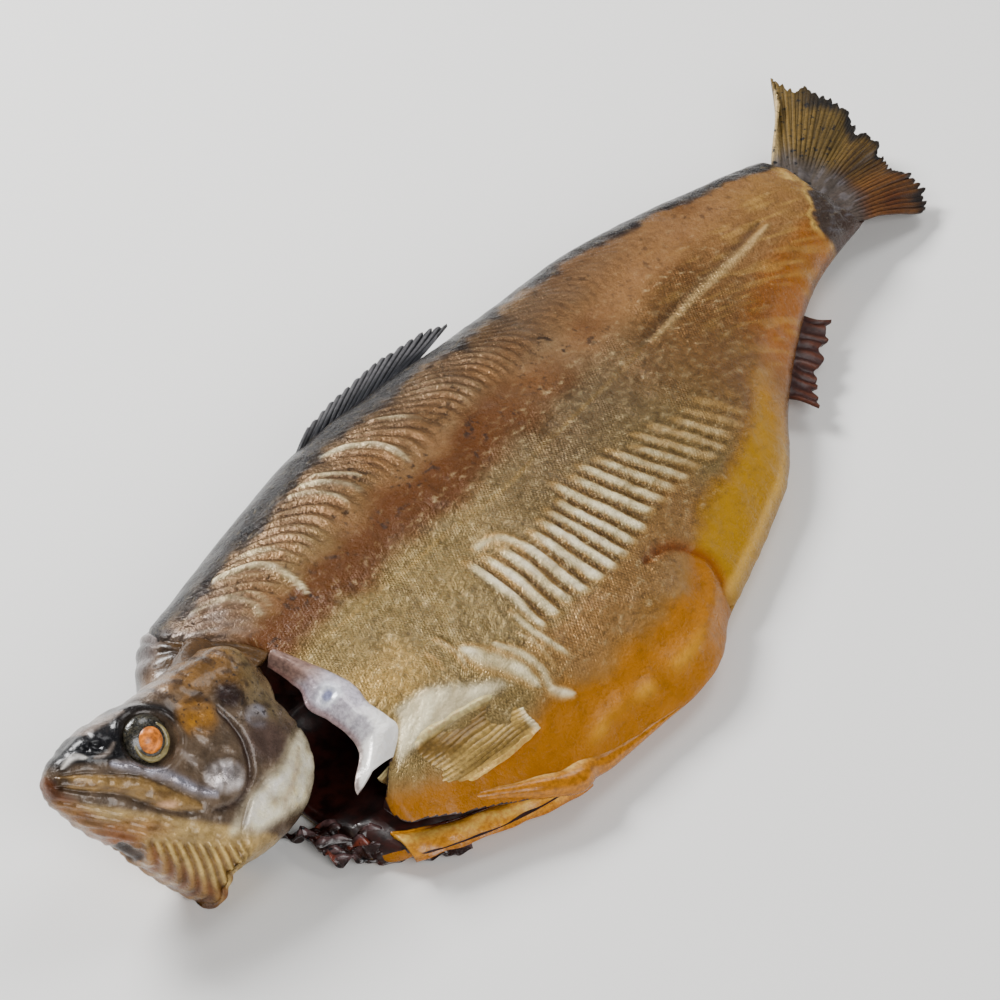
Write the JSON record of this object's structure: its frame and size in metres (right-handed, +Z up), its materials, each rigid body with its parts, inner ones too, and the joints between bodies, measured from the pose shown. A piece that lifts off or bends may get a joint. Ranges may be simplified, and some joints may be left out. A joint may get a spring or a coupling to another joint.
{
  "type": "smoked trout",
  "caption": "Whole hot-smoked trout lying on its right side, head turned up, gills open, belly slit from the throat, fins and ragged tail dried by the smoke.",
  "frame": {"origin": "middle of the fish's box, on the ground it lies on", "axes": "+X from the snout to the tail fin, +Y to the fish's back, +Z up, out of its left flank"},
  "size_m": [0.3382, 0.1306, 0.042],
  "materials": {
    "smoked_skin": "oily smoked skin, golden brown with silvery scales"
  },
  "bodies": {
    "root": {"trout": "smoked_skin"}
  },
  "joints": []
}
